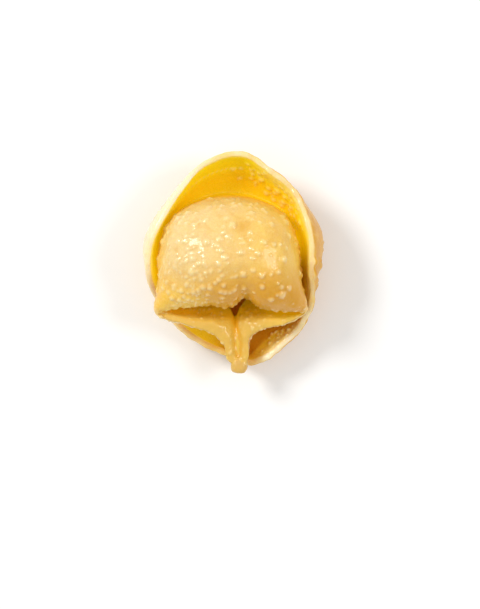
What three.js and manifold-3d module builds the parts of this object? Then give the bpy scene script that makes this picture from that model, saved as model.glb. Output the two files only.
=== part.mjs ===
// One cappelletto: a sheet of egg dough folded over its filling, the two ends of the fold drawn
// round a finger and pinched together, and the sealed edge curled up behind the stuffed belly
// like the brim of a hat. Millimetres, +Z up. It lies on the back of its brim with the belly up,
// +Y towards the tip of the brim, and its origin is on the table under the middle of its box.

import * as THREE from "three";
import { mergeVertices } from "three/addons/utils/BufferGeometryUtils.js";
import Module from "manifold-3d";

// Driving dimensions.
const EDGE_THICKNESS = 0.95; // the cut edge of the brim, two sheets of dough pressed together
const EDGE_ROUNDING = 0.18; // how far the middle of the cut edge stands out of its corners
const VALLEY_SHARE = 0.2; // the valley's place on the way from the belly's side to the rim
const OVERHANG = { least: 0.3, perTuck: 0.27, height: 0.62 }; // how the belly's side turns in
const WIDEST_SHARE = 0.62; // height of the brim's widest line, as a share of the rim's height
const BACK_TURN = { share: 0.82, height: 1.8 }; // where the brim's back turns under
const CONTACT_SHARE = 0.55; // how far out the brim's back lies flat on the table
const FINGER_HOLE = { x: -0.3, y: 0.5, halfWidth: 6.0, halfLength: 4.7, rounding: 1.2, lip: 1.3 };
const BODY_CENTRE = { x: -0.3, y: 0.6 }; // the brim's back closes in towards this point

// Guide loops around the ring of dough, seen from above and clockwise from the tip of the brim.
// Each has 20 stations: the tip, four over the right side, the right corner, four along the
// right arm, the pinch, and the same stations back up the left side.
const FOLD = [
  [0.9, -6.9, 12.6], [3.7, -7.5, 12.9], [6.3, -8.1, 12.9], [8.9, -8.1, 12.2], [10.7, -8.2, 11.3],
  [11.4, -8.5, 10.4], [8.2, -10.3, 10.4], [4.2, -11.3, 10.2], [2.1, -12.9, 9.8], [1.9, -16.4, 9.0],
  [0.3, -17.6, 8.5], [-1.5, -16.6, 8.8], [-2.3, -14.0, 9.6], [-4.3, -12.0, 10.2],
  [-8.0, -10.7, 10.7], [-13.2, -8.7, 10.8], [-12.0, -8.0, 11.6], [-8.6, -7.5, 12.4],
  [-5.0, -7.1, 12.8], [-1.9, -7.5, 12.9],
];
const BELLY = [
  [-0.1, 11.0, 10.0], [4.2, 10.3, 10.0], [8.2, 8.0, 10.0], [10.3, 3.4, 10.0], [10.8, -2.6, 10.2],
  [11.5, -7.2, 9.8], [8.5, -10.1, 6.6], [4.4, -11.1, 6.3], [2.3, -12.8, 6.0], [1.8, -15.0, 6.2],
  [0.2, -15.2, 6.4], [-1.5, -14.6, 6.5], [-2.4, -13.6, 6.0], [-4.5, -11.8, 6.3],
  [-8.2, -10.3, 6.9], [-13.8, -7.4, 10.0], [-13.3, -3.6, 10.4], [-13.1, 3.0, 10.0],
  [-10.8, 8.1, 10.0], [-5.6, 10.6, 10.0],
];
const RIM = [
  [0.5, 18.0, 11.6], [5.0, 15.4, 12.0], [9.3, 11.6, 12.6], [11.9, 4.9, 13.3], [12.1, -1.2, 12.6],
  [12.1, -7.0, 8.0], [10.1, -11.0, 6.8], [7.6, -13.4, 6.8], [5.0, -15.5, 6.3], [2.4, -16.5, 5.4],
  [0.3, -16.0, 5.0], [-1.7, -14.9, 4.7], [-4.0, -14.0, 4.8], [-6.2, -12.9, 5.0],
  [-8.8, -11.0, 5.0], [-12.0, -7.4, 5.6], [-14.4, -2.0, 11.6], [-14.1, 3.3, 13.2],
  [-10.3, 10.4, 13.2], [-5.6, 16.0, 12.2],
];
const MOUTH = [
  [0.9, -5.9, 9.2], [3.5, -6.5, 9.2], [5.9, -7.1, 9.0], [8.2, -7.5, 8.8], [9.8, -7.8, 8.6],
  [10.4, -8.3, 8.9], [7.4, -8.6, 8.5], [3.6, -8.2, 8.1], [0.05, -8.6, 7.7], [0.25, -13.2, 7.8],
  [0.3, -16.3, 7.7], [-0.05, -13.2, 7.8], [-0.8, -8.8, 7.7], [-3.8, -8.4, 8.1],
  [-7.2, -8.5, 8.7], [-11.3, -8.0, 9.6], [-10.3, -7.5, 9.2], [-7.6, -7.0, 8.9],
  [-4.7, -6.6, 9.1], [-1.9, -7.0, 9.2],
];

// At the same stations: how high the filling lifts the dough, how far the corners swell, how far
// the back of the brim swells past the rim, how high the valley between the belly and the brim
// lies, how far it is tucked in under the belly, and how far the dough rolls forward between the
// fold and the mouth.
const FILLING_LIFT = [
  7.7, 7.6, 6.7, 4.6, 2.3, 0.6, 0, 0, 0, 0, 0, 0, 0, 0, 0, 0.6, 2.3, 4.6, 6.7, 7.6,
];
const CORNER_SWELL = [0, 0, 0, 0, 0.2, 0.5, 0.2, 0, 0, 0, 0, 0, 0, 0, 0.2, 0.6, 0.2, 0, 0, 0];
const BRIM_SWELL = [
  -0.6, 0.2, 0.5, 2.6, 1.9, 0.1, 0.6, 0.6, 0.5, 0.5, 0.5, 0.5, 0.5, 0.6, 0.7, 0.6, 0.5, 1.8, 1.3,
  0.1,
];
const VALLEY_HEIGHT = [
  4.0, 4.4, 6.2, 7.4, 5.0, 3.4, 3.4, 3.4, 3.4, 3.4, 3.4, 3.4, 3.8, 4.2, 4.8, 6.5, 8.6, 8.6, 6.8,
  4.6,
];
const VALLEY_TUCK = [
  0.3, 0.3, 0.3, 0.3, 0.9, 1.9, 1.4, 1.3, 0.9, 0.5, 0.3, 0.3, 0.8, 1.2, 1.2, 2.2, 1.2, 0.4, 0.3,
  0.3,
];
const LIP_ROLL = [
  0.5, 0.5, 0.5, 0.5, 0.4, 0.3, 1.0, 1.4, 1.3, 1.0, 0.6, 1.0, 1.3, 1.4, 1.0, 0.3, 0.4, 0.5, 0.5,
  0.5,
];

// The dent in the middle of the lip, deepest at the fold and gone a little way up the belly.
const DENT = { x: 1.7, halfWidth: 1.5, depth: 1.1, fading: [1, 0.85, 0.4] };

// The two pieces of dough squeezed together at the pinch: the web that closes the crease between
// the arms, and the nub where their ends run out, squarer than a ball.
const WEB = { centre: [0, -12.0, 5.1], radii: [1.25, 3.7, 2.6], turn: 0.06, squareness: 2 };
const NUB = { centre: [0.42, -17.4, 8.2], radii: [1.45, 1.42, 1], turn: -0.08, squareness: 2.8 };

// The larger blisters that cooking raised, each as its place from above and its radius: first
// over the belly, then inside the brim. The small ones between them are scattered by rule.
const BELLY_BLISTERS = [
  [7.8, -5.7, 0.85], [9.0, -4.5, 0.7], [5.7, -6.5, 0.6], [2.4, 8.5, 0.8], [-0.5, 6.5, 0.75],
  [-1.2, 4.5, 0.65], [-7.3, 6.5, 0.65], [-5.1, 3.6, 0.75], [-2.7, 2.2, 0.65], [0.5, 1.9, 0.65],
  [3.7, 1.7, 0.6], [4.6, 3.6, 0.65], [6.3, 3.1, 0.6], [6.1, 6.5, 0.65], [9.0, 4.6, 0.65],
  [8.2, 0.5, 0.85], [0.9, -2.2, 0.75], [-7.8, -1.9, 0.75], [-7.7, 0.6, 0.7], [-5.6, -0.4, 0.6],
];
const BRIM_BLISTERS = [
  [5.4, 12.6, 0.6], [6.8, 12.1, 0.65], [7.7, 10.3, 0.65], [8.9, 9.4, 0.6], [2.4, 15.0, 0.5],
  [0.5, 14.3, 0.5], [-0.7, 15.8, 0.5], [0.7, 15.8, 0.5],
];
const BLISTER_RISE = 0.42; // height of a blister as a share of its radius
const SCATTER = { seed: 7, count: 60, smallest: 0.38, spread: 0.26, spacing: 0.85 };
const BELLY_PATCH = { x: -1.0, y: 1.4, halfWidth: 12.0, halfLength: 8.6, squareness: 3 };
const BELLY_FLOOR = 8.5; // the belly's blisters are above this height, and the brim's below
const BRIM_CEILING = 12.4;

// The belly's section, as shares of the way from the fold to the belly's far side.
const BELLY_STEPS = [0.05, 0.18, 0.38, 0.6, 0.8, 0.94];
const BELLY_FULLNESS = { lean: 1.15, flatness: 2.4, roundness: 0.55 };
// The brim's inner face, as shares of the way from the valley to the rim.
const BRIM_STEPS = [0.33, 0.68];
const BRIM_FLARE = { out: 0.85, up: 1.5 };

// Faces between neighbouring stations, and between neighbouring points of a section.
const RING_FACES = [6, 6, 6, 5, 5, 5, 4, 4, 3, 2, 2, 3, 4, 4, 5, 5, 5, 6, 6, 6];
const SECTION_FACES = [1, 3, 4, 5, 5, 3, 2, 1, 1, 2, 2, 3, 1, 1, 2, 2, 2, 2, 1, 2, 3, 2, 2];

function loopThrough(points) {
  const corners = points.map(([x, y, z]) => new THREE.Vector3(x, y, z));
  return new THREE.CatmullRomCurve3(corners, true, "centripetal");
}

function valueAround(values) {
  const points = values.map((value) => new THREE.Vector3(value, 0, 0));
  const curve = new THREE.CatmullRomCurve3(points, true, "catmullrom");
  return (t) => curve.getPoint(t).x;
}

const fold = loopThrough(FOLD);
const belly = loopThrough(BELLY);
const rim = loopThrough(RIM);
const mouth = loopThrough(MOUTH);
const fillingLift = valueAround(FILLING_LIFT);
const cornerSwell = valueAround(CORNER_SWELL);
const brimSwell = valueAround(BRIM_SWELL);
const valleyHeight = valueAround(VALLEY_HEIGHT);
const valleyTuck = valueAround(VALLEY_TUCK);
const lipRoll = valueAround(LIP_ROLL);

function mix(from, to, share) {
  return new THREE.Vector3().lerpVectors(from, to, share);
}

// The level direction that points out of the ring at the rim.
function outwardAt(t) {
  const tangent = rim.getTangent(t);
  return new THREE.Vector3(-tangent.y, tangent.x, 0).normalize();
}

function holePoint(t, scale, height) {
  const angle = Math.PI / 2 - 2 * Math.PI * t;
  const x = FINGER_HOLE.x + scale * FINGER_HOLE.halfWidth * Math.cos(angle);
  const y = FINGER_HOLE.y + scale * FINGER_HOLE.halfLength * Math.sin(angle);
  return new THREE.Vector3(x, y, height);
}

// How far the dent pushes a point of the lip back, on the belly's side of the ring only.
function dentAt(point, t) {
  const onBelly = Math.max(Math.cos(2 * Math.PI * t), 0);
  return onBelly * DENT.depth * Math.exp(-(((point.x - DENT.x) / DENT.halfWidth) ** 2));
}

// The section's points from the fold over the filling to the belly's far side.
function overBelly(foldPoint, side, outward, t) {
  return BELLY_STEPS.map((share, step) => {
    const across = Math.abs(2 * share ** BELLY_FULLNESS.lean - 1);
    const rise = (1 - across ** BELLY_FULLNESS.flatness) ** BELLY_FULLNESS.roundness;
    const point = mix(foldPoint, side, share);
    point.addScaledVector(outward, 4 * share * (1 - share) * cornerSwell(t));
    point.y += dentAt(point, t) * (DENT.fading[step + 1] ?? 0);
    point.z += fillingLift(t) * rise;
    return point;
  });
}

// The section's points in under the belly, up the brim's inner face and round its cut edge.
function upBrim(side, rimPoint, outward, t) {
  const tuck = valleyTuck(t);
  const valley = mix(side, rimPoint, VALLEY_SHARE).setZ(valleyHeight(t));
  valley.addScaledVector(outward, -tuck);
  const hang = mix(side, valley, Math.min(OVERHANG.least + OVERHANG.perTuck * tuck, 1));
  hang.z = THREE.MathUtils.lerp(valley.z, side.z, OVERHANG.height);
  const face = BRIM_STEPS.map((share) => {
    const point = mix(valley, rimPoint, share ** BRIM_FLARE.out);
    point.z = THREE.MathUtils.lerp(valley.z, rimPoint.z, share ** BRIM_FLARE.up);
    return point;
  });
  const edgeMiddle = rimPoint.clone().addScaledVector(outward, EDGE_THICKNESS / 2);
  edgeMiddle.z += EDGE_ROUNDING;
  const edgeBack = rimPoint.clone().addScaledVector(outward, EDGE_THICKNESS);
  return [hang, valley, ...face, rimPoint, edgeMiddle, edgeBack];
}

// The section's points down the brim's back, under it and in to the finger hole.
function downBack(rimPoint, outward, t) {
  const centre = new THREE.Vector3(BODY_CENTRE.x, BODY_CENTRE.y, 0);
  const widest = rimPoint.clone().addScaledVector(outward, brimSwell(t));
  widest.z = rimPoint.z * WIDEST_SHARE;
  const turn = mix(centre, widest, BACK_TURN.share).setZ(BACK_TURN.height);
  const underside = mix(centre, widest, CONTACT_SHARE).setZ(0);
  const holeRim = holePoint(t, FINGER_HOLE.rounding, 0);
  const hole = holePoint(t, 1, FINGER_HOLE.lip);
  return [widest, turn, underside, holeRim, hole];
}

// One closed section of the dough: over the belly, through the valley, up the brim, round its
// cut edge, down its back, in to the finger hole and out through the hole to the fold.
function sectionAt(t) {
  const foldPoint = fold.getPoint(t);
  const side = belly.getPoint(t);
  const rimPoint = rim.getPoint(t);
  const mouthPoint = mouth.getPoint(t);
  const outward = outwardAt(t);
  const over = overBelly(foldPoint, side, outward, t);
  const up = upBrim(side, rimPoint, outward, t);
  const down = downBack(rimPoint, outward, t);
  const throat = mix(down.at(-1), mouthPoint, 0.5);
  const roll = mix(mouthPoint, foldPoint, 0.5);
  roll.z += lipRoll(t);
  foldPoint.y += dentAt(foldPoint, t);
  roll.y += dentAt(roll, t);
  return [foldPoint, ...over, side, ...up, ...down, throat, mouthPoint, roll];
}

// Evenly many steps within each stretch of a loop, as parameters from 0 to 1.
function stepsOver(faces) {
  const steps = [];
  faces.forEach((count, stretch) => {
    for (let i = 0; i < count; i += 1) {
      steps.push((stretch + i / count) / faces.length);
    }
  });
  return steps;
}

// The geometry without its seams: vertices at one place become one.
function welded(geometry) {
  geometry.deleteAttribute("uv");
  geometry.deleteAttribute("normal");
  return mergeVertices(geometry);
}

// A torus whose tube is drawn out to the dough's section all the way round.
function ringOfDough() {
  const around = stepsOver(RING_FACES);
  const along = stepsOver(SECTION_FACES);
  const geometry = new THREE.TorusGeometry(2, 1, along.length, around.length);
  const position = geometry.attributes.position;
  for (let i = 0; i <= around.length; i += 1) {
    const section = sectionAt(around[i % around.length]);
    const curve = new THREE.CatmullRomCurve3(section, true, "centripetal");
    for (let j = 0; j <= along.length; j += 1) {
      const point = curve.getPoint(along[j % along.length]);
      const vertex = j * (around.length + 1) + i;
      position.setXYZ(vertex, point.x, point.y, Math.max(point.z, 0));
    }
  }
  return welded(geometry);
}

// The same even random numbers on every run.
function randomNumbers(seed) {
  let state = seed;
  return () => {
    state = (state * 1664525 + 1013904223) % 4294967296;
    return state / 4294967296;
  };
}

// Small blisters scattered over the belly, thicker on its left and near the fold.
function scatteredBlisters() {
  const random = randomNumbers(SCATTER.seed);
  const blisters = [...BELLY_BLISTERS];
  while (blisters.length < BELLY_BLISTERS.length + SCATTER.count) {
    const across = 2 * random() - 1;
    const up = 2 * random() - 1;
    const radius = SCATTER.smallest + SCATTER.spread * random();
    const wanted = 0.55 - 0.35 * across - 0.25 * up > random();
    const x = BELLY_PATCH.x + across * BELLY_PATCH.halfWidth;
    const y = BELLY_PATCH.y + up * BELLY_PATCH.halfLength;
    const power = BELLY_PATCH.squareness;
    const onPatch = Math.abs(across) ** power + Math.abs(up) ** power < 1;
    const free = blisters.every(([bx, by, br]) => (
      Math.hypot(x - bx, y - by) > SCATTER.spacing * (radius + br)
    ));
    if (wanted && onPatch && free) {
      blisters.push([x, y, radius]);
    }
  }
  return blisters;
}

function riseAt(x, y, blisters) {
  let rise = 0;
  blisters.forEach(([bx, by, radius]) => {
    const reach = Math.hypot(x - bx, y - by) / radius;
    if (reach < 1) {
      rise = Math.max(rise, BLISTER_RISE * radius * (1 - reach * reach) ** 1.5);
    }
  });
  return rise;
}

// Pushes the dough out along its own normal wherever a blister stands.
function raiseBlisters(geometry) {
  geometry.computeVertexNormals();
  const onBelly = scatteredBlisters();
  const { position, normal } = geometry.attributes;
  for (let i = 0; i < position.count; i += 1) {
    const point = new THREE.Vector3().fromBufferAttribute(position, i);
    const out = new THREE.Vector3().fromBufferAttribute(normal, i);
    let rise = 0;
    if (out.z > 0 && point.z > BELLY_FLOOR) {
      rise = riseAt(point.x, point.y, onBelly);
    }
    if (out.z > 0 && point.z < BRIM_CEILING) {
      rise = Math.max(rise, riseAt(point.x, point.y, BRIM_BLISTERS));
    }
    point.addScaledVector(out, rise);
    position.setXYZ(i, point.x, point.y, point.z);
  }
  return geometry;
}

// A squeezed lump of dough: a ball squared off, drawn out to its radii and turned about the
// upright.
function lump({ centre, radii, turn, squareness }) {
  const geometry = new THREE.SphereGeometry(1, 20, 12);
  const { position } = geometry.attributes;
  for (let i = 0; i < position.count; i += 1) {
    const point = new THREE.Vector3().fromBufferAttribute(position, i);
    const total = point.toArray().reduce((sum, part) => sum + Math.abs(part) ** squareness, 0);
    point.divideScalar(total ** (1 / squareness));
    position.setXYZ(i, point.x, point.y, point.z);
  }
  geometry.scale(...radii);
  geometry.rotateZ(turn);
  geometry.translate(...centre);
  return welded(geometry);
}

const wasm = await Module();
wasm.setup();

function solidOf(geometry) {
  const vertProperties = new Float32Array(geometry.attributes.position.array);
  const triVerts = new Uint32Array(geometry.index.array);
  return new wasm.Manifold(new wasm.Mesh({ numProp: 3, vertProperties, triVerts }));
}

// The ring, the web and the nub as one body, centred over its box and standing on the table.
function wholePiece() {
  const ring = solidOf(raiseBlisters(ringOfDough()));
  const joined = ring.add(solidOf(lump(WEB))).add(solidOf(lump(NUB)));
  const { vertProperties, triVerts } = joined.getMesh();
  const geometry = new THREE.BufferGeometry();
  geometry.setAttribute("position", new THREE.BufferAttribute(vertProperties, 3));
  geometry.setIndex(new THREE.BufferAttribute(triVerts, 1));
  geometry.computeBoundingBox();
  const middle = geometry.boundingBox.getCenter(new THREE.Vector3());
  geometry.translate(-middle.x, -middle.y, -geometry.boundingBox.min.z);
  geometry.computeVertexNormals();
  return geometry;
}

const dough = new THREE.MeshStandardMaterial({ color: "#f3cb6c", roughness: 0.42, metalness: 0 });
const piece = new THREE.Mesh(wholePiece(), dough);
piece.name = "cappelletto";

const cappelletto = new THREE.Group();
cappelletto.add(piece);

export default cappelletto;
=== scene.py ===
"""One cooked cappelletto lying on the back of its brim on a pale table, seen from straight above.

The dough is a ring: a torus whose tube is drawn out to the dough's own section all the way
round. The guide loops below are in millimetres, seen from above, and the mesh is in metres.
"""

import math

import bpy
import numpy as np
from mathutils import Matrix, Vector
from mathutils.kdtree import KDTree


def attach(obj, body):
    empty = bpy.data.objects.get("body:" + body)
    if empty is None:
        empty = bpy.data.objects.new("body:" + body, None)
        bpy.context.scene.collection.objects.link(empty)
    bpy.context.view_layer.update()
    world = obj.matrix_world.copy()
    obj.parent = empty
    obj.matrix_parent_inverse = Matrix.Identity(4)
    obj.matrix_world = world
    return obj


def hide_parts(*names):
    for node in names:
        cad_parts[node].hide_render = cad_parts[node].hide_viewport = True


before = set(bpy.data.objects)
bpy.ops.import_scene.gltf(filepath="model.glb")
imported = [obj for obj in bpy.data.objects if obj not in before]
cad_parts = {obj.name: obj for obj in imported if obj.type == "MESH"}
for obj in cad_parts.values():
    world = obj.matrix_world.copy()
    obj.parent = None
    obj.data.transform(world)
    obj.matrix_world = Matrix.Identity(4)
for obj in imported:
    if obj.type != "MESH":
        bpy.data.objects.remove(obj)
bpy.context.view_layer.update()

MM = 0.001

# ---------------------------------------------------------------- sizes of the dough, in mm
EDGE_THICKNESS = 0.95
EDGE_ROUNDING = 0.18
VALLEY_SHARE = 0.2
OVERHANG = {"least": 0.3, "per_tuck": 0.27, "height": 0.62}
WIDEST_SHARE = 0.62
BACK_TURN = {"share": 0.82, "height": 1.8}
CONTACT_SHARE = 0.55
FINGER_HOLE = {"x": -0.3, "y": 0.5, "half_width": 6.0, "half_length": 4.7, "rounding": 1.2}
FINGER_HOLE_LIP = 1.3
BODY_CENTRE = (-0.3, 0.6)

# Guide loops round the ring, clockwise from the tip of the brim: the tip, four stations over the
# right side, the right corner, four along the right arm, the pinch, and back up the left side.
FOLD = [
    (0.9, -6.9, 12.6), (3.7, -7.5, 12.9), (6.3, -8.1, 12.9), (8.9, -8.1, 12.2),
    (10.7, -8.2, 11.3), (11.4, -8.5, 10.4), (8.2, -10.3, 10.4), (4.2, -11.3, 10.2),
    (2.1, -12.9, 9.8), (1.9, -16.4, 9.0), (0.3, -17.6, 8.5), (-1.5, -16.6, 8.8),
    (-2.3, -14.0, 9.6), (-4.3, -12.0, 10.2), (-8.0, -10.7, 10.7), (-13.2, -8.7, 10.8),
    (-12.0, -8.0, 11.6), (-8.6, -7.5, 12.4), (-5.0, -7.1, 12.8), (-1.9, -7.5, 12.9),
]
BELLY = [
    (-0.1, 11.0, 10.0), (4.2, 10.3, 10.0), (8.2, 8.0, 10.0), (10.3, 3.4, 10.0),
    (10.8, -2.6, 10.2), (11.5, -7.2, 9.8), (8.5, -10.1, 6.6), (4.4, -11.1, 6.3),
    (2.3, -12.8, 6.0), (1.8, -15.0, 6.2), (0.2, -15.2, 6.4), (-1.5, -14.6, 6.5),
    (-2.4, -13.6, 6.0), (-4.5, -11.8, 6.3), (-8.2, -10.3, 6.9), (-13.8, -7.4, 10.0),
    (-13.3, -3.6, 10.4), (-13.1, 3.0, 10.0), (-10.8, 8.1, 10.0), (-5.6, 10.6, 10.0),
]
RIM = [
    (0.5, 18.0, 11.6), (5.0, 15.4, 12.0), (9.3, 11.6, 12.6), (11.9, 4.9, 13.3),
    (12.1, -1.2, 12.6), (12.1, -7.0, 8.0), (10.1, -11.0, 6.8), (7.6, -13.4, 6.8),
    (5.0, -15.5, 6.3), (2.4, -16.5, 5.4), (0.3, -16.0, 5.0), (-1.7, -14.9, 4.7),
    (-4.0, -14.0, 4.8), (-6.2, -12.9, 5.0), (-8.8, -11.0, 5.0), (-12.0, -7.4, 5.6),
    (-14.4, -2.0, 11.6), (-14.1, 3.3, 13.2), (-10.3, 10.4, 13.2), (-5.6, 16.0, 12.2),
]
MOUTH = [
    (0.9, -5.9, 9.2), (3.5, -6.5, 9.2), (5.9, -7.1, 9.0), (8.2, -7.5, 8.8), (9.8, -7.8, 8.6),
    (10.4, -8.3, 8.9), (7.4, -8.6, 8.5), (3.6, -8.2, 8.1), (0.05, -8.6, 7.7),
    (0.25, -13.2, 7.8), (0.3, -16.3, 7.7), (-0.05, -13.2, 7.8), (-0.8, -8.8, 7.7),
    (-3.8, -8.4, 8.1), (-7.2, -8.5, 8.7), (-11.3, -8.0, 9.6), (-10.3, -7.5, 9.2),
    (-7.6, -7.0, 8.9), (-4.7, -6.6, 9.1), (-1.9, -7.0, 9.2),
]
FILLING_LIFT = [7.7, 7.6, 6.7, 4.6, 2.3, 0.6, 0, 0, 0, 0, 0, 0, 0, 0, 0, 0.6, 2.3, 4.6, 6.7, 7.6]
CORNER_SWELL = [0, 0, 0, 0, 0.2, 0.5, 0.2, 0, 0, 0, 0, 0, 0, 0, 0.2, 0.6, 0.2, 0, 0, 0]
BRIM_SWELL = [
    -0.6, 0.2, 0.5, 2.6, 1.9, 0.1, 0.6, 0.6, 0.5, 0.5, 0.5, 0.5, 0.5, 0.6, 0.7, 0.6, 0.5, 1.8,
    1.3, 0.1,
]
VALLEY_TUCK = [
    0.3, 0.3, 0.3, 0.3, 0.9, 1.9, 1.4, 1.3, 0.9, 0.5, 0.3, 0.3, 0.8, 1.2, 1.2, 2.2, 1.2, 0.4,
    0.3, 0.3,
]
VALLEY_HEIGHT = [
    4.0, 4.4, 6.2, 7.4, 5.0, 3.4, 3.4, 3.4, 3.4, 3.4, 3.4, 3.4, 3.8, 4.2, 4.8, 6.5, 8.6, 8.6,
    6.8, 4.6,
]
LIP_ROLL = [
    0.5, 0.5, 0.5, 0.5, 0.4, 0.3, 1.0, 1.4, 1.3, 1.0, 0.6, 1.0, 1.3, 1.4, 1.0, 0.3, 0.4, 0.5,
    0.5, 0.5,
]
# How much daylight comes through the thin brim at the same stations.
GLOW = [0.35, 0.35, 0.4, 0.8, 0.05, 0, 0, 0, 0, 0, 0, 0, 0.3, 0.6, 0.65, 0.7, 0.9, 0.9, 0.7, 0.5]
DENT = {"x": 1.7, "half_width": 1.5, "depth": 1.1, "fading": [1, 0.85, 0.4]}
BELLY_STEPS = [0.05, 0.18, 0.38, 0.6, 0.8, 0.94]
BELLY_FULLNESS = {"lean": 1.15, "flatness": 2.4, "roundness": 0.55}
BRIM_STEPS = [0.33, 0.68]
BRIM_FLARE = {"out": 0.85, "up": 1.5}

# Places along a section are counted in its knots: 0 is the fold, 1 to 6 go over the belly, 7 is
# its side, 8 hangs over the valley at 9, 10 and 11 go up the brim's inner face, 12 to 14 round its
# cut edge, 15 is the widest line of its back, 16 turns under, 17 is the underside, 18 and 19 are
# the finger hole, 20 the throat, 21 the mouth, 22 the roll, and 23 is the fold again.
# Stretches of a section, as where each begins, where it ends and how softly.
BELLY_SKIN = (0.0, 6.6, 0.5)
BELLY_SIDE = (5.9, 7.0, 0.3)
LIP_ABOVE, LIP_BELOW = (0.0, 0.25, 0.15), (22.92, 23.0, 0.1)
FOLD_ABOVE, FOLD_BELOW = (0.0, 0.6, 0.4), (22.6, 23.0, 0.4)
ARM_ABOVE, ARM_BELOW = (0.0, 6.8, 0.3), (20.6, 23.0, 0.3)
ARM_LOWER_EDGE = (4.5, 7.2, 0.6)
BRIM_INSIDE = (9.0, 11.9, 0.3)
BRIM_BLISTERED, POCKET_BLISTERED = (9.4, 11.4, 0.3), (10.6, 11.6, 0.3)
CRIMP_LINE = (10.86, 10.94, 0.03)
PRESSED_BAND = (10.95, 11.9, 0.25)
CUT_EDGE = (11.9, 14.2, 0.5)
BRIM_BACK = (13.8, 16.4, 0.3)
CRIMPS_PER_STATION = 8

# Faces between neighbouring stations of a loop, and between neighbouring knots of a section.
RING_FACES = [16] * 5 + [10] * 3 + [8] * 4 + [10] * 3 + [16] * 5
SECTION_FACES = [
    5, 14, 20, 25, 25, 15, 10, 6, 5, 9, 10, 14, 4, 4, 9, 7, 7, 6, 4, 6, 11, 10, 9,
]


# ---------------------------------------------------------------- the shape of the ring
def closed_curve(knots, where, power=0.25):
    """Points on the closed Catmull-Rom curve through the knots, where counts along the knots.
    With a power of 0.25 the curve is centripetal, and with 0 its knots are evenly spaced."""
    count = knots.shape[-2]
    start = np.floor(where).astype(int)
    rows = np.arange(len(where))

    def knot(step):
        index = (start + step) % count
        return knots[index] if knots.ndim == 2 else knots[rows, index]

    def gap(one, other):
        return np.maximum(np.sum((other - one) ** 2, axis=-1, keepdims=True), 1e-9) ** power

    before, here, there, after = knot(-1), knot(0), knot(1), knot(2)
    first, middle, last = gap(before, here), gap(here, there), gap(there, after)
    leaving = (here - before) / first - (there - before) / (first + middle)
    leaving = (leaving + (there - here) / middle) * middle
    arriving = (there - here) / middle - (after - here) / (middle + last)
    arriving = (arriving + (after - there) / last) * middle
    share = (where - start)[:, None]
    square = -3 * here + 3 * there - 2 * leaving - arriving
    cube = 2 * here - 2 * there + leaving + arriving
    return here + leaving * share + square * share**2 + cube * share**3


def loop_point(loop, turn):
    """The loop's points at turns from 0 to 1 round the ring."""
    return closed_curve(np.array(loop, float), (turn % 1.0) * len(loop))


def value_around(values, turn):
    """A value that is listed per station, at turns from 0 to 1 round the ring."""
    knots = np.array(values, float)[:, None]
    return closed_curve(knots, (turn % 1.0) * len(values), power=0)[:, 0]


def unit(vectors):
    return vectors / np.maximum(np.linalg.norm(vectors, axis=-1, keepdims=True), 1e-12)


def with_height(points, height):
    raised = points.copy()
    raised[:, 2] = height
    return raised


def outward_at(turn):
    """The level direction that points out of the ring at the rim."""
    step = 0.0001
    tangent = loop_point(RIM, turn + step) - loop_point(RIM, turn - step)
    return unit(np.stack([-tangent[:, 1], tangent[:, 0], np.zeros(len(turn))], axis=1))


def hole_point(turn, scale, height):
    """Points round the finger hole, an oval that the scale widens."""
    angle = math.pi / 2 - 2 * math.pi * turn
    x = FINGER_HOLE["x"] + scale * FINGER_HOLE["half_width"] * np.cos(angle)
    y = FINGER_HOLE["y"] + scale * FINGER_HOLE["half_length"] * np.sin(angle)
    return np.stack([x, y, np.full(len(turn), height)], axis=1)


def dent_at(points, turn):
    """How far the dent in the middle of the lip pushes it back."""
    on_belly = np.maximum(np.cos(2 * math.pi * turn), 0)
    across = (points[:, 0] - DENT["x"]) / DENT["half_width"]
    return on_belly * DENT["depth"] * np.exp(-(across**2))


def over_belly(fold, side, outward, turn):
    knots = []
    for step, share in enumerate(BELLY_STEPS):
        across = abs(2 * share ** BELLY_FULLNESS["lean"] - 1)
        rise = (1 - across ** BELLY_FULLNESS["flatness"]) ** BELLY_FULLNESS["roundness"]
        point = fold + (side - fold) * share
        point += outward * (4 * share * (1 - share) * value_around(CORNER_SWELL, turn))[:, None]
        if step + 1 < len(DENT["fading"]):
            point[:, 1] += dent_at(point, turn) * DENT["fading"][step + 1]
        point[:, 2] += value_around(FILLING_LIFT, turn) * rise
        knots.append(point)
    return knots


def up_brim(side, rim, outward, turn):
    tuck = value_around(VALLEY_TUCK, turn)
    floor = value_around(VALLEY_HEIGHT, turn)
    valley = with_height(side + (rim - side) * VALLEY_SHARE, floor)
    valley -= outward * tuck[:, None]
    hang_share = np.minimum(OVERHANG["least"] + OVERHANG["per_tuck"] * tuck, 1)
    hang = side + (valley - side) * hang_share[:, None]
    hang[:, 2] = valley[:, 2] + (side[:, 2] - valley[:, 2]) * OVERHANG["height"]
    face = []
    for share in BRIM_STEPS:
        point = valley + (rim - valley) * share ** BRIM_FLARE["out"]
        point[:, 2] = valley[:, 2] + (rim[:, 2] - valley[:, 2]) * share ** BRIM_FLARE["up"]
        face.append(point)
    edge_middle = rim + outward * (EDGE_THICKNESS / 2)
    edge_middle[:, 2] += EDGE_ROUNDING
    return [hang, valley, *face, rim, edge_middle, rim + outward * EDGE_THICKNESS]


def down_back(rim, outward, turn):
    centre = np.array([*BODY_CENTRE, 0.0])
    widest = rim + outward * value_around(BRIM_SWELL, turn)[:, None]
    widest[:, 2] = rim[:, 2] * WIDEST_SHARE
    turned = with_height(centre + (widest - centre) * BACK_TURN["share"], BACK_TURN["height"])
    underside = with_height(centre + (widest - centre) * CONTACT_SHARE, 0)
    hole_rim = hole_point(turn, FINGER_HOLE["rounding"], 0)
    return [widest, turned, underside, hole_rim, hole_point(turn, 1, FINGER_HOLE_LIP)]


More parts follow.
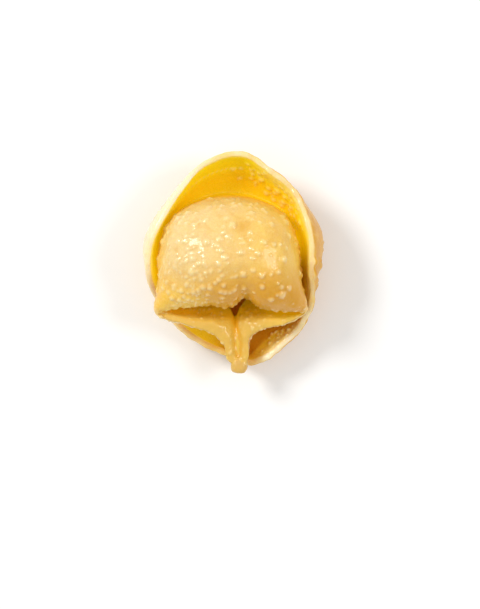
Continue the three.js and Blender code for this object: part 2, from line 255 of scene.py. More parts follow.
def dough_surface(turn, place):
    """The dough's points at turns round the ring and places along its section, in mm."""
    fold, side = loop_point(FOLD, turn), loop_point(BELLY, turn)
    rim, mouth = loop_point(RIM, turn), loop_point(MOUTH, turn)
    outward = outward_at(turn)
    over = over_belly(fold, side, outward, turn)
    up = up_brim(side, rim, outward, turn)
    down = down_back(rim, outward, turn)
    throat = (down[-1] + mouth) / 2
    roll = (mouth + fold) / 2
    roll[:, 2] += value_around(LIP_ROLL, turn)
    fold[:, 1] += dent_at(fold, turn)
    roll[:, 1] += dent_at(roll, turn)
    knots = np.stack([fold, *over, side, *up, *down, throat, mouth, roll], axis=1)
    points = closed_curve(knots, place)
    points[:, 2] = np.maximum(points[:, 2], 0)
    return points


def steps_over(faces):
    """Evenly many steps within each stretch, counted in stretches."""
    steps = [stretch + i / count for stretch, count in enumerate(faces) for i in range(count)]
    return np.array(steps)


# ---------------------------------------------------------------- mesh helpers
def select_only(*objects):
    bpy.ops.object.select_all(action="DESELECT")
    for item in objects:
        item.select_set(True)
    bpy.context.view_layer.objects.active = objects[0]


def apply_modifier(item, kind, **settings):
    modifier = item.modifiers.new(kind.title(), kind)
    for name, value in settings.items():
        setattr(modifier, name, value)
    select_only(item)
    bpy.ops.object.modifier_apply(modifier=modifier.name)


def points_of(item):
    flat = np.zeros(len(item.data.vertices) * 3, np.float32)
    item.data.vertices.foreach_get("co", flat)
    return flat.reshape(-1, 3).astype(float) / MM


def normals_of(item):
    flat = np.zeros(len(item.data.vertices) * 3, np.float32)
    item.data.vertex_normals.foreach_get("vector", flat)
    return flat.reshape(-1, 3).astype(float)


def areas_of(item):
    """The area of dough around every vertex, in square metres."""
    mesh = item.data
    area = np.zeros(len(mesh.polygons), np.float32)
    mesh.polygons.foreach_get("area", area)
    corners = np.zeros(len(mesh.polygons), np.int32)
    mesh.polygons.foreach_get("loop_total", corners)
    vertex = np.zeros(len(mesh.loops), np.int32)
    mesh.loops.foreach_get("vertex_index", vertex)
    total = np.zeros(len(mesh.vertices))
    np.add.at(total, vertex, np.repeat(area / corners, corners))
    return total


def move_points(item, points):
    item.data.vertices.foreach_set("co", (points * MM).astype(np.float32).ravel())
    item.data.update()


def set_mask(item, name, values):
    layer = item.data.attributes.get(name)
    if layer is None:
        layer = item.data.attributes.new(name, "FLOAT", "POINT")
    layer.data.foreach_set("value", np.asarray(values, np.float32))


def mask_of(item, name):
    values = np.zeros(len(item.data.vertices), np.float32)
    item.data.attributes[name].data.foreach_get("value", values)
    return values.astype(float)


def smooth_step(low, high, value):
    share = np.clip((value - low) / (high - low), 0, 1)
    return share * share * (3 - 2 * share)


def band(value, low, high, soft):
    """1 between low and high, fading out over soft on both sides."""
    return smooth_step(low - soft, low, value) * (1 - smooth_step(high, high + soft, value))


# ---------------------------------------------------------------- uneven dough
NOISE_CELLS = 32


def noise_at(points, cell_size, seed):
    """Smooth noise from -1 to 1 in cells of a size in mm, the same on every run."""
    values = np.random.default_rng(seed).uniform(-1, 1, (NOISE_CELLS,) * 3)
    place = points / cell_size + 100.0
    cell = np.floor(place).astype(int)
    share = place - cell
    share = share * share * (3 - 2 * share)
    total = np.zeros(len(points))
    for corner in range(8):
        step = np.array([corner & 1, (corner >> 1) & 1, (corner >> 2) & 1])
        weight = np.prod(np.where(step == 1, share, 1 - share), axis=1)
        index = (cell + step) % NOISE_CELLS
        total += weight * values[index[:, 0], index[:, 1], index[:, 2]]
    return total


def random_numbers(seed):
    """Numbers from 0 to 1, the same on every run."""
    state = seed
    while True:
        state = (state * 1664525 + 1013904223) % 4294967296
        yield state / 4294967296


# The larger blisters that cooking raised, each as its place from above and its radius.
BELLY_BLISTERS = [
    (7.8, -5.7, 0.85), (9.0, -4.5, 0.7), (5.7, -6.5, 0.6), (2.4, 8.5, 0.8), (-0.5, 6.5, 0.75),
    (-1.2, 4.5, 0.65), (-7.3, 6.5, 0.65), (-5.1, 3.6, 0.75), (-2.7, 2.2, 0.65),
    (0.5, 1.9, 0.65), (3.7, 1.7, 0.6), (4.6, 3.6, 0.65), (6.3, 3.1, 0.6), (6.1, 6.5, 0.65),
    (9.0, 4.6, 0.65), (8.2, 0.5, 0.85), (0.9, -2.2, 0.75), (-7.8, -1.9, 0.75),
    (-7.7, 0.6, 0.7), (-5.6, -0.4, 0.6),
]
BRIM_BLISTERS = [
    (5.4, 12.6, 0.6), (6.8, 12.1, 0.65), (7.7, 10.3, 0.65), (8.9, 9.4, 0.6), (2.4, 15.0, 0.5),
    (0.5, 14.3, 0.5), (-0.7, 15.8, 0.5), (0.7, 15.8, 0.5),
]
# A cluster in the left corner and a pair above the dent.
CORNER_BLISTERS = [
    (-10.7, -4.2, 0.65), (-9.5, -5.0, 0.65), (-8.6, -4.0, 0.55), (-7.4, -5.1, 0.65),
    (-11.8, -5.2, 0.55), (-11.0, -6.3, 0.65), (-9.7, -6.5, 0.6), (-8.2, -6.4, 0.55),
    (-12.2, -3.2, 0.5), (-11.6, -1.4, 0.5), (-2.2, -5.2, 0.65), (-0.9, -5.1, 0.6),
]
BLISTER_RISE = 0.42  # height of a blister as a share of its radius
BLISTER_DOME = 1.1  # the power that rounds its top, and the next one narrows its pale part
BLISTER_PALE = 1.5
MOSTLY_SMALL = 1.6  # the power that makes small ones more common
DIMPLE = {"x": 0.9, "y": 6.0, "radius": 1.3, "depth": 0.3}
# The small blisters between them, scattered by rule over a patch of the belly.
SCATTER = {"seed": 7, "count": 60, "smallest": 0.38, "spread": 0.26, "spacing": 0.85}
BELLY_PATCH = {"x": -1.0, "y": 1.4, "half_width": 12.0, "half_length": 8.6, "squareness": 3}
# The named blisters of the belly lie above the first height, and those of the brim below the
# second.
BELLY_FLOOR, BRIM_CEILING = 8.5, 12.8
NEARBY = 0.35  # how far from a blister's place a point may be to carry it
SPACING = 0.72  # least distance between fine blisters, as a share of their radii
SHAKE = {"far": 0.13, "cell_size": 0.6, "seed": 40}
# What a density has at least, so that there are always enough points to choose from.
FAINT, SPARSE = 1e-9, 1e-6


def scattered_blisters():
    """Small blisters over the belly, thicker on its left and near the fold."""
    random = random_numbers(SCATTER["seed"])
    blisters = list(BELLY_BLISTERS)
    while len(blisters) < len(BELLY_BLISTERS) + SCATTER["count"]:
        across = 2 * next(random) - 1
        up = 2 * next(random) - 1
        radius = SCATTER["smallest"] + SCATTER["spread"] * next(random)
        wanted = 0.55 - 0.35 * across - 0.25 * up > next(random)
        x = BELLY_PATCH["x"] + across * BELLY_PATCH["half_width"]
        y = BELLY_PATCH["y"] + up * BELLY_PATCH["half_length"]
        power = BELLY_PATCH["squareness"]
        on_patch = abs(across) ** power + abs(up) ** power < 1
        if wanted and on_patch and all(
            math.hypot(x - bx, y - by) > SCATTER["spacing"] * (radius + br)
            for bx, by, br in blisters
        ):
            blisters.append((x, y, radius))
    return blisters


def stand_on(blisters, points, allowed):
    """Each blister's place from above, dropped on the highest allowed point below it."""
    candidates = np.flatnonzero(allowed)
    centres = []
    for x, y, radius in blisters:
        away = np.hypot(points[candidates, 0] - x, points[candidates, 1] - y)
        near = candidates[away < NEARBY]
        if len(near):
            centres.append((*points[near[np.argmax(points[near, 2])]], radius))
    return centres


def fine_blisters(dough, density, count, sizes, seed, taken=()):
    """More blisters on the mesh's own points, where the density allows them."""
    random = np.random.default_rng(seed)
    points = dough.points
    chosen = list(taken)
    centres = np.array([blister[:3] for blister in chosen]).reshape(-1, 3)
    radii = np.array([blister[3] for blister in chosen])
    weights = density * dough.area
    shares = weights / weights.sum()
    picks = random.choice(len(points), size=count * 4, p=shares, replace=False)
    for pick in picks:
        radius = sizes[0] + (sizes[1] - sizes[0]) * random.random() ** MOSTLY_SMALL
        away = np.linalg.norm(centres - points[pick], axis=1)
        if len(radii) and np.any(away < SPACING * (radii + radius)):
            continue
        chosen.append((*points[pick], radius))
        centres = np.vstack([centres, points[pick]])
        radii = np.append(radii, radius)
        if len(chosen) >= len(taken) + count:
            break
    return chosen[len(taken):]


def raise_at(points, blisters):
    """How far every point is lifted by the blisters, and how much of a blister it is. The points
    are shaken a little first, which makes the blisters irregular."""
    shakes = [noise_at(points, SHAKE["cell_size"], SHAKE["seed"] + axis) for axis in range(3)]
    shaken = points + SHAKE["far"] * np.stack(shakes, 1)
    tree = KDTree(len(points))
    for index, point in enumerate(shaken):
        tree.insert(point, index)
    tree.balance()
    rise = np.zeros(len(points))
    whole = np.zeros(len(points))
    for x, y, z, radius in blisters:
        for _place, index, away in tree.find_range((x, y, z), radius):
            dome = (1 - (away / radius) ** 2) ** BLISTER_DOME
            rise[index] = max(rise[index], BLISTER_RISE * radius * dome)
            whole[index] = max(whole[index], dome**BLISTER_PALE)
    return rise, whole


# ---------------------------------------------------------------- the cappelletto
ARMS_FROM, ARMS_TO = 0.25, 0.75  # the turns round the ring between which the arms lie


def ring_of_dough():
    """The torus drawn out to the dough's section."""
    around, along = steps_over(RING_FACES), steps_over(SECTION_FACES)
    bpy.ops.mesh.primitive_torus_add(
        major_segments=len(around), minor_segments=len(along),
        major_radius=10 * MM, minor_radius=4 * MM, generate_uvs=False,
    )
    ring = bpy.context.object
    ring.name = "dough_ring"
    set_mask(ring, "turn", np.repeat(around / len(RING_FACES), len(along)))
    set_mask(ring, "place", np.tile(along, len(around)))
    split_along_arms(ring, len(along))
    move_points(ring, dough_surface(mask_of(ring, "turn"), mask_of(ring, "place")))
    return ring


def split_along_arms(ring, section_points):
    """Halves the faces along the two arms, where the stations are far apart."""
    turn = mask_of(ring, "turn")
    select_only(ring)
    bpy.context.tool_settings.mesh_select_mode = (False, True, False)
    bpy.ops.object.mode_set(mode="EDIT")
    bpy.ops.mesh.select_all(action="DESELECT")
    bpy.ops.object.mode_set(mode="OBJECT")
    for edge in ring.data.edges:
        one, other = edge.vertices
        turns = (turn[one], turn[other])
        on_arms = min(turns) >= ARMS_FROM and max(turns) <= ARMS_TO
        edge.select = on_arms and one % section_points == other % section_points
    bpy.ops.object.mode_set(mode="EDIT")
    bpy.ops.mesh.subdivide(number_cuts=1)
    bpy.ops.object.mode_set(mode="OBJECT")


def facing_out(item):
    select_only(item)
    bpy.ops.object.mode_set(mode="EDIT")
    bpy.ops.mesh.select_all(action="SELECT")
    bpy.ops.mesh.normals_make_consistent(inside=False)
    bpy.ops.object.mode_set(mode="OBJECT")


# ---------------------------------------------------------------- relief of the cooked dough
class Dough:
    """The ring's points in mm before the relief, and where each of them lies on the ring."""

    def __init__(self, ring):
        self.turn, self.place = mask_of(ring, "turn"), mask_of(ring, "place")
        self.points, self.normals = points_of(ring), normals_of(ring)
        self.x, self.y, self.z = self.points.T
        self.area = areas_of(ring)
        self.facing_up = self.normals[:, 2] > 0
        self.frontness = np.cos(2 * math.pi * self.turn)
        # 1 over the stuffed half of the ring, fading to 0 along the arms.
        self.belly_half = smooth_step(0.0, 0.35, self.frontness + 0.1)
        self.arms = 1 - self.belly_half
        self.belly = self.along(BELLY_SKIN) * self.belly_half
        self.arm_skin = self.arms * np.maximum(self.along(ARM_ABOVE), self.along(ARM_BELOW))
        across = (self.x - DIMPLE["x"]) ** 2 + (self.y - DIMPLE["y"]) ** 2
        self.dimple = self.belly * np.exp(-across / DIMPLE["radius"] ** 2)

    def along(self, stretch):
        return band(self.place, *stretch)

    def noise(self, cell_size, seed):
        return noise_at(self.points, cell_size, seed)


def unevenness(dough):
    """Long waves on the belly, shorter ones on the arms, and a little everywhere."""
    lift = 0.22 * dough.noise(3.2, seed=11) * dough.belly
    lift += 0.05 * dough.noise(1.1, seed=12) * (0.5 + dough.belly)
    arms = 0.18 * dough.noise(1.4, seed=19) + 0.09 * dough.noise(0.7, seed=20)
    lift += arms * dough.arm_skin
    lift += 0.02 * dough.noise(0.45, seed=13)
    return lift


def raise_belly(dough, lift):
    """The belly's blisters: the large ones, the scattered ones and clusters in between."""
    leftness = smooth_step(6.0, -9.0, dough.x)
    lowness = smooth_step(3.0, -6.0, dough.y)
    clustered = 0.12 + smooth_step(0.0, 0.5, dough.noise(1.9, seed=18))
    top = dough.belly * smooth_step(-0.1, 0.5, dough.normals[:, 2])
    density = top * clustered * (0.15 + 0.5 * leftness + 0.5 * leftness * lowness + 0.15 * lowness)
    on_top = dough.facing_up & (dough.z > BELLY_FLOOR) & (dough.belly > 0.3)
    named = stand_on(CORNER_BLISTERS + scattered_blisters(), dough.points, on_top)
    fine = fine_blisters(dough, density, count=170, sizes=(0.2, 0.62), seed=21, taken=named)
    rise, whole = raise_at(dough.points, named + fine)
    lift += 1.2 * rise * dough.belly
    whole = whole * dough.belly
    lift -= DIMPLE["depth"] * dough.dimple
    return lift, whole


def raise_lip_and_sides(dough, lift, whole):
    """Rows of bumps along the lip and down the belly's two sides."""
    half = dough.belly_half
    lip = (dough.along(LIP_ABOVE) + dough.along(LIP_BELOW)) * half
    sides = dough.along(BELLY_SIDE) * half * np.clip(1.4 - np.abs(dough.y + 1.0) / 9.0, 0.35, 1)
    rows = fine_blisters(dough, lip + FAINT, count=38, sizes=(0.36, 0.64), seed=31)
    rows += fine_blisters(dough, sides + FAINT, count=44, sizes=(0.5, 0.95), seed=32)
    rise, row_whole = raise_at(dough.points, rows)
    lift = np.maximum(lift, lift * 0.5 + 1.3 * rise * half)
    return lift, np.maximum(whole, 0.6 * row_whole * half)


def raise_brim(dough, lift, whole):
    """The brim's blisters: named ones inside it, small ones round them and on its back, and
    larger ones low on its right side."""
    x, y, place = dough.x, dough.y, dough.place
    inside, back = dough.along(BRIM_INSIDE), dough.along(BRIM_BACK)
    low_inside = dough.facing_up & (dough.z < BRIM_CEILING) & (place > 9) & (place < 12)
    named = stand_on(BRIM_BLISTERS, dough.points, low_inside)
    right = smooth_step(-1.0, 6.0, x) * smooth_step(4.0, 9.0, y)
    pocket_side = dough.along(POCKET_BLISTERED) * dough.arms * smooth_step(2.0, 6.0, x)
    density = dough.along(BRIM_BLISTERED) * right + 0.8 * pocket_side + SPARSE
    fine = fine_blisters(dough, density, count=70, sizes=(0.3, 0.6), seed=22, taken=named)
    rise, brim_whole = raise_at(dough.points, named + fine)
    lift += 1.6 * rise * inside
    whole = np.maximum(whole, np.minimum(1.8 * brim_whole, 1) * inside)
    right_side = back * smooth_step(6.0, 11.0, x) * band(y, -4.6, 0.0, 1.0)
    on_back = fine_blisters(dough, back + SPARSE, count=110, sizes=(0.25, 0.5), seed=23)
    rise, back_whole = raise_at(dough.points, on_back)
    lift += rise * back
    on_side = fine_blisters(dough, right_side + FAINT, count=14, sizes=(0.8, 1.2), seed=24)
    rise, _ = raise_at(dough.points, on_side)
    lift += rise * back
    return lift, np.maximum(whole, 0.3 * back_whole * back)


def raise_arms_and_crimps(dough, lift, whole):
    """Small bumps on the arms, and the dotted line where the brim was crimped."""
    skin = dough.arm_skin
    on_arms = fine_blisters(dough, skin + FAINT, count=150, sizes=(0.2, 0.48), seed=25)
    rise, arm_whole = raise_at(dough.points, on_arms)
    lift += 1.2 * rise * skin
    whole = np.maximum(whole, 0.8 * arm_whole * skin)
    line = dough.along(CRIMP_LINE) * smooth_step(6.0, 9.0, dough.y)
    line = line * smooth_step(2.0, -1.0, dough.x)
    crimps = 2 * math.pi * CRIMPS_PER_STATION * dough.turn * len(RING_FACES)
    dots = line * (0.5 + 0.5 * np.cos(crimps))
    lift += 0.12 * dots
    return lift, np.maximum(whole, dots)


def shape_edges(dough, lift):
    """The band along the rim, pressed thinner by the fingers, and the unevenness along the fold,
    the cut edge and the arms' lower edge."""
    pressed = dough.along(PRESSED_BAND) * smooth_step(0.0, 0.3, dough.frontness + 0.3)
    lift -= 0.14 * pressed
    fold_edge = dough.along(FOLD_ABOVE) + dough.along(FOLD_BELOW)
    lift += 0.12 * fold_edge * dough.noise(0.8, seed=14) * dough.belly_half
    lift += (0.1 + 0.08 * (dough.x > 2)) * dough.along(CUT_EDGE) * dough.noise(0.9, seed=15)
    arm_edge = dough.along(ARM_LOWER_EDGE) * dough.arms
    lift += 0.08 * arm_edge * dough.noise(0.9, seed=16)
    return lift


def raise_dough(ring):
    """Pushes all the relief out along the dough's own normals, and leaves the material's masks."""
    dough = Dough(ring)
    lift, whole = raise_belly(dough, unevenness(dough))
    lift, whole = raise_lip_and_sides(dough, lift, whole)
    lift, whole = raise_brim(dough, lift, whole)
    lift, whole = raise_arms_and_crimps(dough, lift, whole)
    lift = shape_edges(dough, lift)
    standing = dough.z > 0.02
    raised = dough.points + dough.normals * (lift * standing)[:, None]
    raised[:, 2] = np.maximum(raised[:, 2], 0)
    move_points(ring, raised)
    for name, values in masks_over(dough, whole).items():
        set_mask(ring, name, values)


def masks_over(dough, whole):
    """How much of each tint, of a blister and of daylight there is at every point."""
    turn, place, x, y, arms = dough.turn, dough.place, dough.x, dough.y, dough.arms
    # The filling showing through the belly, with painted light: more of it towards the upper left,
    # where the light falls.
    filling_and_painted_light = band(place, 2.0, 6.9, 1.0) * smooth_step(1.0, 6.0, value_around(FILLING_LIFT, turn))
    filling_and_painted_light = filling_and_painted_light * smooth_step(-8.0, 1.0, y) * (0.25 + 0.75 * smooth_step(9, -9, x))

    # Pale, partly painted light: the cut edge, the brim next to it at the far left and right, and
    # the arms' fold.
    front = dough.frontness * 0.5 + 0.5
    left = smooth_step(2.0, -10.0, x)
    far_side = np.maximum(smooth_step(2, 7, x), smooth_step(-9, -12, x))
    inner_fade = 0.5 * smooth_step(10.7, 12.0, place) * far_side * (place < 12.1)
    # Painted light: the cut edge lighter at the lower right, where it lies in shade.
    low_right = smooth_step(-6, -10, y) * smooth_step(2, 7, x)
    edges = band(place, 12.1, 13.7, 0.3) * np.clip(0.25 + 0.35 * front + low_right, 0, 0.95)
    edges = np.maximum(edges, inner_fade) * (0.85 + 0.3 * dough.noise(1.3, seed=27))
    pale_side = band(place, 12.2, 16.4, 0.3) * smooth_step(16.6, 14.4, place)
    arm_line = arms * band(place, 1.8, 4.4, 0.6)

    # Painted shade, in tan: the brim's back on the right, the belly's shaded front and the dimple.
    shaded_back = band(place, 14.1, 17.5, 0.3) * smooth_step(-4.0, 8.0, x)
    shaded_back *= 0.85 + 0.4 * dough.noise(1.5, seed=28)
    shaded = dough.belly * smooth_step(1.0, -6.0, y) * smooth_step(-9.0, -1.0, x)

    hollow = band(place, 8.5, 11.8, 0.4)
    # Painted shade: darker orange in the deep pocket of the brim on the right.
    pocket_shade = band(place, 8.5, 10.2, 0.5) * arms * smooth_step(-2.0, 2.0, x)
    ridge = np.maximum(band(place, 21.9, 23.0, 0.8), band(place, 0.0, 1.0, 1.0))
    daylight = band(place, 8.8, 11.8, 0.5) * np.clip(value_around(GLOW, turn), 0, 1)
    # Painted glow on the arms' mouth, which lightens the shade under the lip.
    mouth = arms * band(place, 20.2, 22.6, 0.4)
    daylight += mouth * (0.36 + 0.36 * smooth_step(2.0, 8.0, x))
    return {
        "blister": whole,
        "pressed": smooth_step(10.2, 11.2, place) * (place < 12.3) * (1 - arms),
        "flap": hollow * (1 - 0.4 * arms) - 0.5 * pocket_shade,
        "filling_and_painted_light": filling_and_painted_light,
        # Painted light: the brim's outer face lighter on the upper left, where the light falls.
        "pale_and_painted_light": np.maximum(edges, left * front * pale_side + 0.45 * arm_line),
        "painted_shade": shaded_back + 0.95 * shaded + 0.6 * dough.dimple,
        # Painted shade: deeper orange inside the ring, under the lip and on the arms' inner
        # slopes.
        "shade_under_lip": band(place, 19.0, 22.3, 0.6),
        "pocket_shade": pocket_shade,
        "arm": arms * ridge,
        "glow": daylight * (1 - 0.2 * whole),
    }


# The two pieces of dough squeezed together at the pinch. The nub is coloured as the arms are, and
# the web behind it is yellower.
WEB = {"centre": (0.1, -13.2, 6.4), "radii": (1.2, 4.4, 2.6), "turn": 0.06, "squareness": 2}
NUB = {"centre": (0.42, -17.4, 8.2), "radii": (1.45, 1.42, 1.0), "turn": -0.08, "squareness": 2.8}
NUB_FROM_Y = -15.8
# In mm: how near its old place a point keeps the ring's masks, how far from it a point is new,
# and the distances from a new one between which the kneading fades out.
KEEPS_MASKS, IS_NEW = 0.25, 0.02
KNEADED = (0.2, 1.3)
MASKS = (
    "blister", "flap", "pressed", "filling_and_painted_light", "pale_and_painted_light", "painted_shade", "shade_under_lip", "arm", "pocket_shade", "glow",
)


def lump_of_dough(name, centre, radii, turn, squareness):
    """A squeezed lump: a ball squared off, drawn out to its radii and turned about the upright."""
    bpy.ops.mesh.primitive_ico_sphere_add(subdivisions=5, radius=1, location=(0, 0, 0))
    lump = bpy.context.object
    lump.name = name
    spin = np.array([
        [math.cos(turn), -math.sin(turn), 0], [math.sin(turn), math.cos(turn), 0], [0, 0, 1],
    ])
    points = points_of(lump) * MM
    points /= np.sum(np.abs(points) ** squareness, axis=1, keepdims=True) ** (1 / squareness)
    points = points * np.array(radii)
    points = points @ spin.T + np.array(centre)
    uneven = 0.1 * noise_at(points, 0.8, seed=17)
    points += unit(points - np.array(centre)) * uneven[:, None]
    move_points(lump, points)
    return lump


def join_lumps(ring, lumps):
    """Union of the ring and the lumps, with the masks carried over from the ring."""
    before = KDTree(len(ring.data.vertices))
    for index, vertex in enumerate(ring.data.vertices):
        before.insert(vertex.co, index)
    before.balance()
    kept = {name: mask_of(ring, name) for name in MASKS}
    for lump in lumps:
        apply_modifier(ring, "BOOLEAN", operation="UNION", solver="MANIFOLD", object=lump)
        bpy.data.objects.remove(lump, do_unlink=True)
    found = [before.find(vertex.co) for vertex in ring.data.vertices]
    near = np.array([index for _place, index, _away in found])
    away = np.array([distance for _place, _index, distance in found]) / MM
    on_nub = points_of(ring)[:, 1] < NUB_FROM_Y
    fresh = {"arm": 0.5 + 0.5 * on_nub, "flap": 0.6 - 0.6 * on_nub}
    for name in MASKS:
        set_mask(ring, name, np.where(away < KEEPS_MASKS, kept[name][near], fresh.get(name, 0.0)))
    return away


def soften_joins(ring, away):
    """Kneads the ring and the lumps into one another: smooths the dough near their joins."""
    points = points_of(ring)
    added = np.flatnonzero(away > IS_NEW)
    tree = KDTree(len(added))
    for index, point in enumerate(points[added]):
        tree.insert(point, index)
    tree.balance()
    to_lump = np.array([tree.find(point)[2] for point in points])
    weight = 1 - smooth_step(*KNEADED, np.maximum(to_lump, away))
    group = ring.vertex_groups.new(name="joins")
    for index in np.flatnonzero(weight > 0.01):
        group.add([int(index)], float(weight[index]), "REPLACE")
    apply_modifier(ring, "SMOOTH", factor=0.5, iterations=30, vertex_group="joins")
    ring.vertex_groups.clear()


piece = ring_of_dough()
facing_out(piece)
raise_dough(piece)
lumps = [lump_of_dough("web", **WEB), lump_of_dough("nub", **NUB)]
soften_joins(piece, join_lumps(piece, lumps))
piece.name = "cappelletto_dough"

# Into the frame's place: how far the loops' origin is from the frame's, in mm.
SHIFT = (0.62, -0.06)
points = points_of(piece)
points[:, 0] += SHIFT[0]
points[:, 1] += SHIFT[1]
move_points(piece, points)
select_only(piece)
bpy.ops.object.shade_smooth()

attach(piece, "root")
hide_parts("cappelletto")


# ---------------------------------------------------------------- materials
def new_material(name):
    material = bpy.data.materials.new(name)
    material.use_nodes = True
    return material, material.node_tree, material.node_tree.nodes["Principled BSDF"]


def plug(tree, socket, value):
    """Links a socket to another one, or gives it a value."""
    if isinstance(value, bpy.types.NodeSocket):
        tree.links.new(value, socket)
    else:
        socket.default_value = value


def mix_colour(tree, factor, one, other):
    made = tree.nodes.new("ShaderNodeMix")
    made.data_type = "RGBA"
    made.clamp_factor = True
    plug(tree, made.inputs[0], factor)
    plug(tree, made.inputs[6], one)
    plug(tree, made.inputs[7], other)
    return made.outputs[2]


def maths(tree, operation, one, other=0.0, clamp=False):
    made = tree.nodes.new("ShaderNodeMath")
    made.operation = operation
    made.use_clamp = clamp
    plug(tree, made.inputs[0], one)
    plug(tree, made.inputs[1], other)
    return made.outputs[0]


def ramp(tree, value, low, high, out_low=0.0, out_high=1.0):
    made = tree.nodes.new("ShaderNodeMapRange")
    made.interpolation_type = "SMOOTHSTEP"
    plug(tree, made.inputs[0], value)
    for index, number in enumerate((low, high, out_low, out_high), start=1):
        made.inputs[index].default_value = number
    return made.outputs[0]


def attribute(tree, name):
    made = tree.nodes.new("ShaderNodeAttribute")
    made.attribute_name = name
    return made.outputs["Fac"]


def colour(code):
    """A colour written as sRGB hex, as linear values."""
    parts = [int(code[i:i + 2], 16) / 255 for i in (1, 3, 5)]
    linear = [p / 12.92 if p <= 0.04045 else ((p + 0.055) / 1.055) ** 2.4 for p in parts]
    return (*linear, 1.0)


def tinted(tree, tone, mask, share, code):
    """The tone drawn towards a colour where the mask is."""
    factor = maths(tree, "MULTIPLY", attribute(tree, mask), share)
    return mix_colour(tree, factor, tone, colour(code))


CLOUD_VALUES = ("Scale", "Detail", "Roughness", "Distortion")


def cloud_group():
    """Soft clouds through the solid, as a mask. Both finishes use it, each with its own values."""
    group = bpy.data.node_groups.new("clouds", "ShaderNodeTree")
    sockets = group.interface
    sockets.new_socket("Vector", in_out="INPUT", socket_type="NodeSocketVector")
    for name in CLOUD_VALUES:
        sockets.new_socket(name, in_out="INPUT", socket_type="NodeSocketFloat")
    sockets.new_socket("Mask", in_out="OUTPUT", socket_type="NodeSocketFloat")
    entry = group.nodes.new("NodeGroupInput")
    noise = group.nodes.new("ShaderNodeTexNoise")
    for name in ("Vector", *CLOUD_VALUES):
        group.links.new(entry.outputs[name], noise.inputs[name])
    group.links.new(noise.outputs[0], group.nodes.new("NodeGroupOutput").inputs["Mask"])
    return group


CLOUDS = cloud_group()


def clouds_at(tree, where, scale, detail=2, roughness=0.5, distortion=0):
    """The clouds in a material, with its own values. The scale counts them per metre."""
    placed = tree.nodes.new("ShaderNodeGroup")
    placed.node_tree = CLOUDS
    tree.links.new(where, placed.inputs["Vector"])
    for name, value in zip(CLOUD_VALUES, (scale, detail, roughness, distortion)):
        placed.inputs[name].default_value = value
    return placed.outputs["Mask"]


DAYLIGHT = (0.86, 0.72, 0.0, 1)  # what comes through the thin brim
NO_LIGHT = (0, 0, 0, 1)
SKIN = {
    "Emission Strength": 0.3,
    "Subsurface Weight": 0.35,
    "Subsurface Radius": (1.0, 0.8, 0.35),
    "Subsurface Scale": 0.0016,
    "Coat Roughness": 0.15,
    "Coat IOR": 1.7,
    "IOR": 1.36,
}
WET = {"everywhere": 0.28, "on_blisters": 0.9, "less_in_brim": 0.25}
BUMP = {"Strength": 0.6, "Distance": 0.00014}


def egg_dough():
    material, tree, shader = new_material("cooked_egg_dough")
    for name, value in SKIN.items():
        shader.inputs[name].default_value = value
    where = tree.nodes.new("ShaderNodeTexCoord").outputs["Object"]
    clouds = clouds_at(tree, where, 260, detail=4)
    specks = clouds_at(tree, where, 1800, detail=5, roughness=0.6)
    mottle = clouds_at(tree, where, 420, detail=3, distortion=0.6)
    fine = clouds_at(tree, where, 4800)
    grain = tree.nodes.new("ShaderNodeTexVoronoi")
    tree.links.new(where, grain.inputs["Vector"])
    grain.inputs["Scale"].default_value = 2600

    straw = mix_colour(tree, ramp(tree, clouds, 0.35, 0.65), colour("#EDB93A"), colour("#F4C646"))
    # pale where the filling shows through, with painted light towards the lit upper left
    tone = tinted(tree, straw, "filling_and_painted_light", 0.75, "#E8CD94")
    tone = mix_colour(tree, ramp(tree, specks, 0.52, 0.72, 0.0, 0.3), tone, colour("#FBE3A6"))
    tone = mix_colour(tree, ramp(tree, mottle, 0.48, 0.75, 0.0, 0.4), tone, colour("#DDA22E"))
    tone = tinted(tree, tone, "flap", 1.0, "#EECA12")
    tone = tinted(tree, tone, "pressed", 0.7, "#F0DE14")
    tone = mix_colour(tree, ramp(tree, fine, 0.5, 0.68, 0.0, 0.06), tone, colour("#FFF0C8"))
    tone = mix_colour(tree, ramp(tree, fine, 0.48, 0.32, 0.0, 0.12), tone, colour("#C98A1E"))
    # painted shade: tan on the brim's right back, the belly's lower front and the dimple
    tone = tinted(tree, tone, "painted_shade", 0.95, "#DA9A14")
    # painted shade: deeper orange inside the ring, under the lip
    tone = tinted(tree, tone, "shade_under_lip", 0.85, "#E6A00C")
    tone = tinted(tree, tone, "arm", 0.85, "#D4AA54")
    # painted shade: darker orange in the brim's right pocket
    tone = tinted(tree, tone, "pocket_shade", 0.9, "#D08C04")
    tone = tinted(tree, tone, "blister", 0.45, "#FCE3A6")
    # pale dough at the cut edge, and painted light on the brim's upper left and lower right
    tone = tinted(tree, tone, "pale_and_painted_light", 0.85, "#FCEFD0")
    tree.links.new(tone, shader.inputs["Base Color"])

    glow = mix_colour(tree, attribute(tree, "glow"), NO_LIGHT, DAYLIGHT)
    tree.links.new(glow, shader.inputs["Emission Color"])
    rough = ramp(tree, specks, 0.3, 0.7, 0.3, 0.46)
    tree.links.new(rough, shader.inputs["Roughness"])
    wet = maths(tree, "MULTIPLY", attribute(tree, "blister"), WET["on_blisters"])
    dry = maths(tree, "MULTIPLY", attribute(tree, "flap"), WET["less_in_brim"])
    wet = maths(tree, "ADD", wet, WET["everywhere"])
    tree.links.new(maths(tree, "SUBTRACT", wet, dry, clamp=True), shader.inputs["Coat Weight"])

    height = maths(tree, "ADD", specks, maths(tree, "MULTIPLY", grain.outputs[0], 0.35))
    height = maths(tree, "ADD", height, maths(tree, "MULTIPLY", mottle, 2.0))
    height = maths(tree, "ADD", height, maths(tree, "MULTIPLY", fine, 0.5))
    bump = tree.nodes.new("ShaderNodeBump")
    for name, value in BUMP.items():
        bump.inputs[name].default_value = value
    tree.links.new(height, bump.inputs["Height"])
    tree.links.new(bump.outputs[0], shader.inputs["Normal"])
    return material


piece.data.materials.clear()
piece.data.materials.append(egg_dough())


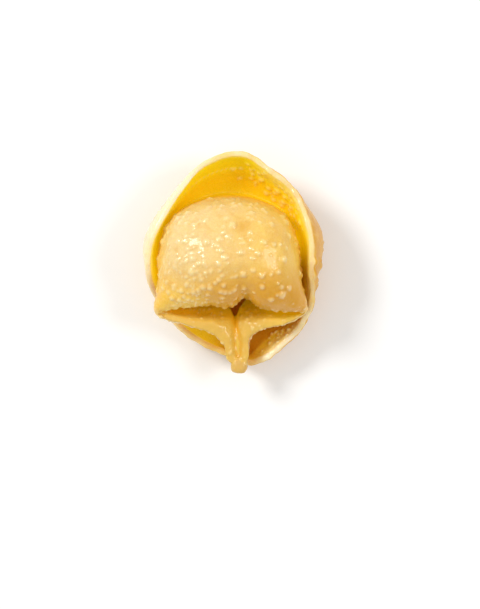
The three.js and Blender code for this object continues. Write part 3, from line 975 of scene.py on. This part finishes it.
def pale_table():
    material, tree, shader = new_material("pale_table")
    where = tree.nodes.new("ShaderNodeTexCoord").outputs["Object"]
    tone = mix_colour(tree, clouds_at(tree, where, 40), colour("#F7F6F4"), colour("#FAFAF9"))
    tree.links.new(tone, shader.inputs["Base Color"])
    shader.inputs["Roughness"].default_value = 0.7
    return material


# ---------------------------------------------------------------- table, lights and camera
bpy.ops.mesh.primitive_plane_add(size=3.0, location=(0, 0, 0))
table = bpy.context.object
table.name = "table"
table.data.materials.append(pale_table())


LIGHT_AIM = (0, 0, 0.008)


def soft_light(name, place, size, power):
    light = bpy.data.lights.new(name, "AREA")
    light.shape = "DISK"
    light.size = size
    light.energy = power
    item = bpy.data.objects.new(name, light)
    item.location = place
    item.rotation_euler = (Vector(LIGHT_AIM) - Vector(place)).to_track_quat("-Z", "Y").to_euler()
    bpy.context.scene.collection.objects.link(item)


soft_light("key", (-0.34, 0.22, 0.42), size=0.18, power=1.65)
soft_light("fill", (0.35, 0.05, 0.45), size=0.2, power=0.8)

world = bpy.data.worlds.new("studio")
world.use_nodes = True
background = world.node_tree.nodes["Background"]
background.inputs["Color"].default_value = (1, 1, 1, 1)
background.inputs["Strength"].default_value = 0.64
bpy.context.scene.world = world

# The view: its size in pixels, the pixel that the loops' origin falls on, and the height above
# the table at which a pixel is so many mm.
FRAME_WIDTH, FRAME_HEIGHT = 480, 609
ORIGIN_PIXEL = (237, 263)
MM_PER_PIXEL = 0.17
SCALE_HEIGHT = 0.010
lens = bpy.data.cameras.new("camera")
lens.lens = 180
lens.sensor_width = 36
camera = bpy.data.objects.new("camera", lens)
view_height = MM_PER_PIXEL * FRAME_HEIGHT * MM
distance = view_height * lens.lens / lens.sensor_width
camera.location = (
    SHIFT[0] * MM + (FRAME_WIDTH / 2 - ORIGIN_PIXEL[0]) * MM_PER_PIXEL * MM,
    SHIFT[1] * MM - (FRAME_HEIGHT / 2 - ORIGIN_PIXEL[1]) * MM_PER_PIXEL * MM,
    distance + SCALE_HEIGHT,
)
bpy.context.scene.collection.objects.link(camera)
bpy.context.scene.camera = camera
bpy.context.scene.view_settings.view_transform = "Standard"
bpy.context.scene.cycles.diffuse_bounces = 8
